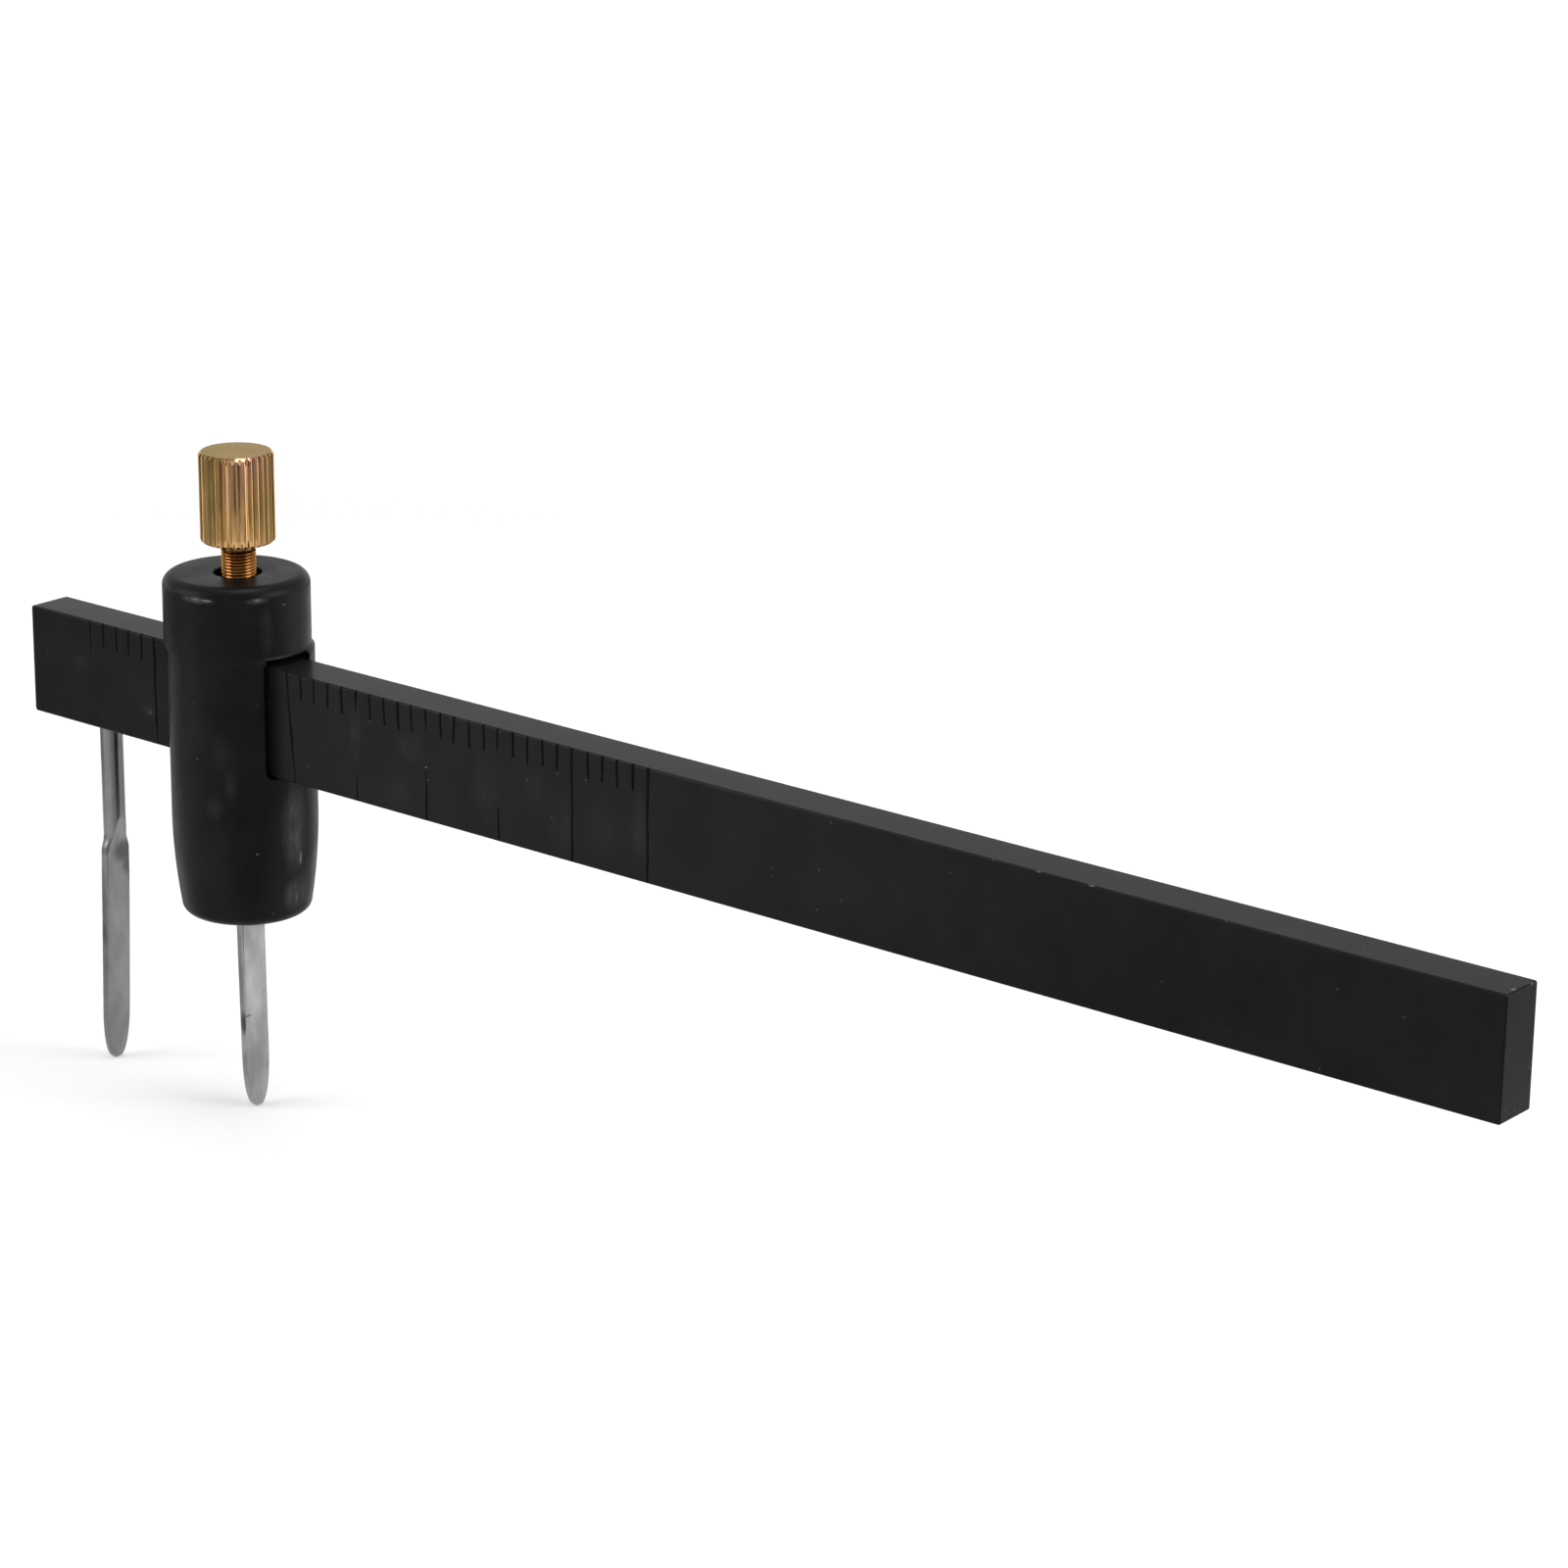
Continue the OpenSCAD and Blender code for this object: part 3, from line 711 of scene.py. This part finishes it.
# The neck begins inside the thread's last turn and narrows inside the knob
neckFoot = stud["threadTop"] - stud["overlap"]
neck = addTurned("neck", post["x"], [
    (0, neckFoot), (stud["neckCore"] / 2, neckFoot),
    (stud["neck"] / 2, stud["threadTop"] - stud["neckStarts"]),
    (stud["neck"] / 2, knob["foot"] + stud["neckEnds"][0]),
    (stud["root"] / 2, knob["foot"] + stud["neckEnds"][1]),
    (stud["root"] / 2, stud["top"]), (0, stud["top"])], stud["sides"])
combine(studPiece, neck, "UNION")
pivot = addRound("pivot", post["x"], 0, stud["foot"] - stud["pivotLength"], stud["foot"] + stud["overlap"],
                 stud["pivot"], stud["pivotSides"])
combine(studPiece, pivot, "UNION")
smooth(studPiece, angle=60)
print("stud modelled")


# Materials. Specks, chips and painted highlights, and darkened places and painted shade, have the same
# shades wherever they are. All patterns are given as how many patches, bumps or lines lie along a
# millimetre. The mould's grain and the tool marks are finer on the real thing, and are drawn as coarse as
# they need to be to show.
shades = {"speck": "#404040", "chipAndHighlight": "#8C8C8C", "darkening": "#2C2C2C"}
plasticPatterns = {"clouds": 0.18, "streaks": 0.65, "dust": 0.7, "handling": 0.32}


def mouldedPlastic(name, look, smearsAndHighlights, chipsAndHighlights):
    # Black thermoplastic from a satin mould: the gloss changes a little over a few millimetres,
    # dust specks 0.2 mm wide lie on it, handling has left grey smears, chips show pale, and the
    # same paler marks paint highlights where the lists give them
    material, tree, shader, where = startMaterial(name)
    clouds = addNode(tree, "TexNoise", Vector=where, Scale=plasticPatterns["clouds"] / mm,
                     Detail=4, Roughness=0.6)
    base = addNode(tree, "ValToRGB", {"stops": ((0.35, look["shade"]), (0.7, look["worn"]))}, Fac=clouds)
    drawn = addNode(tree, "Mapping", Vector=where, Scale=(1, 1, 0.4))
    streaks = addNode(tree, "TexNoise", Vector=drawn, Scale=plasticPatterns["streaks"] / mm,
                      Detail=4, Roughness=0.6)
    torn = addNode(tree, "MapRange", Value=streaks, From_Min=0.35, From_Max=0.65, To_Min=0.25, To_Max=1.0)
    # Grey smears, and painted highlights where the list gives them
    smearedAndLit = nearPlaces(tree, where, smearsAndHighlights, inner=0.1)
    smearedAndLit = addNode(tree, "Math", {"operation": "MULTIPLY"}, in_0=smearedAndLit, in_1=torn)
    base = turnTo(tree, base, smearedAndLit, look["smearAndHighlight"])
    cells = addNode(tree, "TexVoronoi", Vector=where, Scale=plasticPatterns["dust"] / mm)
    speck = addNode(tree, "ValToRGB", {"stops": ((0.06, 1), (0.1, 0))}, Fac=cells)
    rare = addNode(tree, "SeparateColor", Color=cells.node.outputs["Color"])
    rare = addNode(tree, "Math", {"operation": "GREATER_THAN"}, in_0=rare, in_1=look["clean"])
    speck = addNode(tree, "Math", {"operation": "MULTIPLY"}, in_0=speck, in_1=rare)
    base = turnTo(tree, base, speck, shades["speck"])
    # Pale chips, and painted highlights where the list gives them
    base = turnTo(tree, base, nearPlaces(tree, where, chipsAndHighlights, inner=0.2), shades["chipAndHighlight"])
    tree.links.new(base, shader.inputs["Base Color"])
    handled = addNode(tree, "TexNoise", Vector=where, Scale=plasticPatterns["handling"] / mm, Detail=3)
    handled = addNode(tree, "MapRange", Value=handled, From_Min=0.3, From_Max=0.7,
                      To_Min=look["roughness"] - 0.04, To_Max=look["roughness"] + 0.06)
    tree.links.new(handled, shader.inputs["Roughness"])
    pits = addNode(tree, "TexNoise", Vector=where, Scale=look["grain"] / mm, Detail=2)
    bump = addNode(tree, "Bump", Strength=look["relief"], Distance=0.02 * mm, Height=pits)
    tree.links.new(bump, shader.inputs["Normal"])
    shader.inputs["IOR"].default_value = 1.5
    shader.inputs["Specular IOR Level"].default_value = look["shine"]
    return material


def metal(name, look):
    # Bare or passivated metal: its tint drifts in patches, fine lines run along the tool marks, and
    # listed darkened places, or painted shade in the valleys of a turned piece, darken it
    material, tree, shader, where = startMaterial(name)
    drawn = addNode(tree, "Mapping", Vector=where, Scale=(1, 1, look["patchStretch"]))
    clouds = addNode(tree, "TexNoise", Vector=drawn, Scale=look["patches"] / mm, Detail=3, Roughness=0.55)
    tints = look["tints"]
    stops = [(0.32 + 0.36 * i / (len(tints) - 1), tint) for i, tint in enumerate(tints)]
    base = addNode(tree, "ValToRGB", {"stops": stops}, Fac=clouds)
    darkened = nearPlaces(tree, where, look.get("darkenedPlaces", ()), inner=0.35)
    if "valleyShade" in look:
        # From the radius where the painted shade is darkest to the one where it ends, and how strong it is
        deep, high, most = look["valleyShade"]
        aside = addNode(tree, "VectorMath", {"operation": "SUBTRACT"}, in_0=where,
                        in_1=point(post["x"], 0, 0))
        aside = addNode(tree, "VectorMath", {"operation": "MULTIPLY"}, in_0=aside, in_1=(1, 1, 0))
        aside = addNode(tree, "VectorMath", {"operation": "LENGTH"}, "Value", in_0=aside)
        darkened = addNode(tree, "MapRange", Value=aside, From_Min=deep * mm, From_Max=high * mm,
                          To_Min=most, To_Max=0.0)
    base = turnTo(tree, base, darkened, shades["darkening"])
    tree.links.new(base, shader.inputs["Base Color"])
    along = addNode(tree, "Mapping", Vector=where, Scale=(1, 1, look["lineStretch"]))
    lines = addNode(tree, "TexNoise", Vector=along, Scale=look["lines"] / mm, Detail=3)
    rough = addNode(tree, "MapRange", Value=lines, From_Min=0.3, From_Max=0.7,
                    To_Min=look["roughness"] - 0.05, To_Max=look["roughness"] + 0.07)
    tree.links.new(rough, shader.inputs["Roughness"])
    bump = addNode(tree, "Bump", Strength=look["relief"], Distance=0.01 * mm, Height=lines)
    tree.links.new(bump, shader.inputs["Normal"])
    shader.inputs["Metallic"].default_value = 1
    shader.inputs["Specular Tint"].default_value = colour(look["rim"])
    return material


# Smears and pale chips on the bar and the post, some of those on the post being painted highlights, and
# painted shade and other darkened places on the blades: centre, half sizes and strength
barSmears = (((8.0, -2.55, 1.0), (1.4, 1, 1.2), 0.25), ((18.6, -2.55, -2.4), (1.3, 1, 1.0), 0.45),
             ((49.6, -2.55, 1.4), (1.1, 1, 4.4), 0.45), ((57.6, -2.55, 1.6), (3.2, 1, 2.6), 0.26),
             ((68.2, -2.55, -0.8), (3.2, 1, 4.6), 0.24), ((78.2, -2.55, -2.0), (2.6, 1, 5), 0.26),
             ((88.6, -2.55, -0.6), (1.6, 1, 5.5), 0.36), ((84, -2.55, -2.0), (4.5, 1, 4.5), 0.18),
             ((75, -2.55, 0.5), (3.4, 1, 3.4), 0.16), ((55.6, -2.55, -3.8), (2.8, 1, 2.4), 0.2))
barChips = (((59.7, -2.6, -0.2), (0.2, 0.3, 0.16), 0.7), ((59.9, -2.6, -1.5), (0.15, 0.3, 0.15), 0.4),
            ((18.9, -2.6, -2.5), (0.25, 0.3, 0.16), 0.25), ((186.6, -0.9, 6), (0.3, 0.35, 0.3), 0.6),
            ((187, -2.4, 6), (0.25, 0.25, 0.2), 0.5), ((187, 1.6, 6), (0.2, 0.4, 0.2), 0.5),
            ((137.2, -2.5, 6), (0.5, 0.14, 0.14), 0.7), ((143.2, -2.5, 6), (0.6, 0.14, 0.14), 0.8),
            ((132, -2.5, 6), (0.3, 0.12, 0.12), 0.5), ((158, -2.5, 6), (0.3, 0.12, 0.12), 0.4),
            ((81.6, -2.6, 3.1), (0.14, 0.3, 0.2), 0.25), ((77.8, -2.6, 2.9), (0.16, 0.3, 0.14), 0.35),
            ((73.7, -2.6, 1.4), (0.15, 0.3, 0.13), 0.3), ((51.8, -2.6, 3.1), (0.14, 0.3, 0.14), 0.2))
# On the post, the first two, along the top fillet, and the last, on the right above the slot, are painted
# highlights; the third and fourth, down the right of the lower part, are a painted pale band and streaky
# smudges at once; the rest are smudges
postSmearsAndHighlights = (((31.9, -7.6, 13.4), (2.6, 2, 0.5), 1.0), ((36.8, -3.6, 13.4), (1.6, 1.8, 0.45), 0.8),
              ((38.1, -0.3, -11.5), (2, 2.2, 7), 0.9), ((37.6, 0.2, -19.5), (2, 2.2, 2.6), 0.9),
              ((34.9, -6.4, -6.6), (1.0, 1.2, 2.8), 0.26), ((33.3, -7.2, -9.2), (1.6, 1.2, 1.6), 0.22),
              ((34.2, -6.8, -3.2), (1.8, 1.5, 2.8), 0.14), ((27, -7.2, 3), (3.5, 3, 7), 0.2),
              ((37.5, -3.0, 10), (1, 1.2, 4.0), 0.35))
# The first three, along the top fillet, and the last two, down the right of the lower part, are painted
# highlights; the other three are pale specks
postChipsAndHighlights = (((32.9, -7.2, 13.45), (1.0, 0.5, 0.17), 0.6), ((31.6, -7.6, 13.5), (0.7, 0.5, 0.12), 0.4),
             ((36.8, -3.6, 13.5), (0.5, 0.6, 0.15), 0.45), ((31.4, -7.6, -4), (0.13, 0.3, 0.13), 0.6),
             ((36.7, -4.4, -14.2), (0.13, 0.3, 0.13), 0.7), ((37.7, -0.7, 12.6), (0.14, 0.3, 0.13), 0.35),
             ((38.1, 0.6, -15.6), (0.5, 0.25, 1.1), 0.5), ((37.8, 0.3, -20.2), (0.5, 0.2, 0.9), 0.3))
# On the fixed blade: painted shade and dark reflections under the shoulder and down the shank's right side,
# dark bands along the blade's front edge, and the blade darker towards its tip
fixedShadeAndDarkening = (((10.4, 0.75, -20.9), (1.6, 2.2, 1.9), 0.6), ((10.2, 1.3, -22.2), (1.0, 1.1, 2.1), 0.52),
               ((10.2, 1.6, -23.3), (0.9, 0.4, 2.0), 0.5), ((9.7, -1.6, -20.1), (1.4, 0.8, 1.2), 0.4),
               ((10.9, 0.6, -12), (0.7, 0.8, 9), 0.35), ((9.3, -1.9, -30), (0.9, 0.3, 2.6), 0.8),
               ((9.4, -1.85, -26), (0.7, 0.35, 5), 0.35), ((9.7, -0.4, -19.4), (1.3, 0.7, 2.0), 0.3),
               ((9, 0, -46), (3, 4, 9), 0.15))
# On the slider's blade: dark marks along its front edge, and the blade darker towards its tip
sliderDarkening = (((30.7, -1.85, -30), (0.9, 0.5, 8), 0.4), ((31.2, -1.78, -35.4), (0.9, 0.22, 2.2), 0.85),
                ((31.3, -1.35, -34.6), (0.7, 0.7, 0.22), 0.6), ((31.2, -1.75, -41), (0.9, 0.25, 4), 0.5),
                ((31, 0, -47), (4, 5, 17), 0.38))
beamPlastic = mouldedPlastic("moulded black ABS", {
    "shade": "#1B1B1B", "worn": "#202020", "smearAndHighlight": "#3C3C3C", "clean": 0.86, "roughness": 0.2,
    "grain": 3.5, "relief": 0.12, "shine": 0.065}, barSmears, barChips)
postPlastic = mouldedPlastic("moulded black nylon", {
    "shade": "#0F0F0F", "worn": "#181818", "smearAndHighlight": "#4E4E4E", "clean": 0.85, "roughness": 0.36,
    "grain": 1.8, "relief": 0.45, "shine": 0.11}, postSmearsAndHighlights, postChipsAndHighlights)
padPlastic = mouldedPlastic("turned black nylon", {
    "shade": "#1A1A1A", "worn": "#202020", "smearAndHighlight": "#3A3A3A", "clean": 0.9, "roughness": 0.4,
    "grain": 3, "relief": 0.2, "shine": 0.11}, (), ())
# The same steel as the slider's blade, painted darker as shade
fixedSteel = metal("drawn stainless steel, painted_darker", {
    "tints": ("#7C7C7C", "#868686", "#929292"), "patches": 0.33, "patchStretch": 0.5, "lines": 2.5,
    "lineStretch": 0.06, "roughness": 0.3, "relief": 0.12, "rim": "#FFFFFF", "darkenedPlaces": fixedShadeAndDarkening})
sliderSteel = metal("drawn stainless steel", {
    "tints": ("#A0A0A0", "#AEAEAE", "#C2C2C2"), "patches": 0.45, "patchStretch": 0.5, "lines": 2.5,
    "lineStretch": 0.06, "roughness": 0.24, "relief": 0.12, "rim": "#FFFFFF", "darkenedPlaces": sliderDarkening})
# Painted shade: the knurl is darkened in its valleys and on the lower part of its flanks
knobBrass = metal("yellow passivated brass", {
    "tints": ("#CBAD6C", "#DBB06F", "#E8B67D", "#EBB38B"), "patches": 0.35, "patchStretch": 0.35,
    "lines": 3, "lineStretch": 0.1, "roughness": 0.12, "relief": 0.05, "rim": "#FAF2D4",
    "valleyShade": (3.62, 3.9, 0.5)})
# Painted shade: the thread is darkened in its valleys, and the neck under the knob all over
studBrass = metal("coppery rolled brass", {
    "tints": ("#98683A", "#B57C46", "#C8945E"), "patches": 0.5, "patchStretch": 1, "lines": 2.5,
    "lineStretch": 1, "roughness": 0.15, "relief": 0.05, "rim": "#FFE0B0",
    "valleyShade": (1.73, 1.83, 0.55)})
# Painted dark, as painted shade for the insert deep in the post's hole
insertBrass = metal("turned brass", {
    "tints": ("#5E4C2C", "#7A6238"), "patches": 0.5, "patchStretch": 1, "lines": 3, "lineStretch": 1,
    "roughness": 0.3, "relief": 0.1, "rim": "#FFE0B0"})

place(beamBar, "rule", "beam", beamPlastic)
place(fixedBlade, "rule", "fixed_point", fixedSteel)
place(sliderPost, "slider", "slider_body", postPlastic)
place(sliderBlade, "slider", "slider_point", sliderSteel)
place(knobPiece, "screw", "thumb_screw_knob", knobBrass)
place(studPiece, "screw", "thumb_screw_stud", studBrass)
for node, material in (("threaded_insert", insertBrass), ("clamp_pad", padPlastic)):
    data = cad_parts[node].data
    data.materials.clear()
    data.materials.append(material)
print("materials given to every piece")
